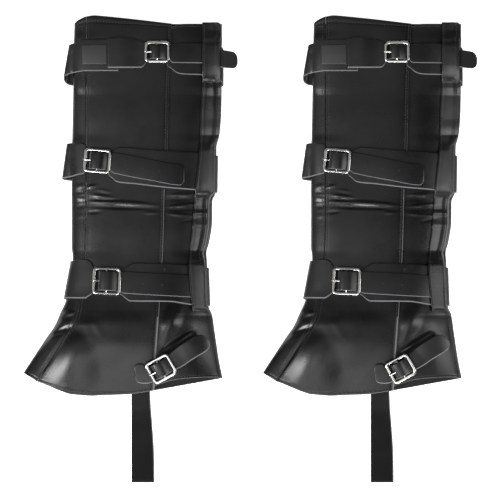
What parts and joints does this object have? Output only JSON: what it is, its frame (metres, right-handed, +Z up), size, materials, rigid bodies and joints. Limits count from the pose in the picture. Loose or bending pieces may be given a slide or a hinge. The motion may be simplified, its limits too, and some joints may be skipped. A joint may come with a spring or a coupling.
{
  "type": "pair of boot covers",
  "caption": "Knee-high boot covers of black leather cloth, laid flat side by side, each with buckled belts round the shaft, an instep buckle strap and a stirrup strap under the hem.",
  "frame": {"origin": "middle of the pair's bounding box, on the surface that the covers lie on", "axes": "+Z up from the surface, +Y up the legs from the hem to the top edge, +X from the toes to the heels"},
  "size_m": [0.5214, 0.5369, 0.0315],
  "materials": {
    "panel_leather": "satin black synthetic leather",
    "strap_leather": "satin black synthetic leather, smoother than the panels",
    "nickel_steel": "bright nickel plate"
  },
  "bodies": {
    "root": {"left_front_strip": "panel_leather", "left_ankle_strip": "panel_leather", "left_toe_strip": "panel_leather", "left_front_panel": "panel_leather", "left_rear_panel": "panel_leather", "left_inner_panel": "panel_leather", "left_back_strap": "strap_leather", "left_top_belt": "strap_leather", "left_top_tongue": "strap_leather", "left_top_patch": "strap_leather", "left_middle_belt": "strap_leather", "left_bottom_belt": "strap_leather", "left_instep_strap": "strap_leather", "left_instep_tab": "strap_leather", "left_stirrup": "strap_leather", "left_top_buckle": "nickel_steel", "left_middle_buckle": "nickel_steel", "left_bottom_buckle": "nickel_steel", "left_instep_buckle": "nickel_steel", "left_top_prong": "nickel_steel", "left_middle_prong": "nickel_steel", "left_bottom_prong": "nickel_steel", "left_instep_prong": "nickel_steel", "right_front_strip": "panel_leather", "right_ankle_strip": "panel_leather", "right_toe_strip": "panel_leather", "right_front_panel": "panel_leather", "right_rear_panel": "panel_leather", "right_inner_panel": "panel_leather", "right_back_strap": "strap_leather", "right_top_belt": "strap_leather", "right_top_tongue": "strap_leather", "right_top_patch": "strap_leather", "right_middle_belt": "strap_leather", "right_bottom_belt": "strap_leather", "right_instep_strap": "strap_leather", "right_instep_tab": "strap_leather", "right_stirrup": "strap_leather", "right_top_buckle": "nickel_steel", "right_middle_buckle": "nickel_steel", "right_bottom_buckle": "nickel_steel", "right_instep_buckle": "nickel_steel", "right_top_prong": "nickel_steel", "right_middle_prong": "nickel_steel", "right_bottom_prong": "nickel_steel", "right_instep_prong": "nickel_steel"}
  },
  "joints": []
}
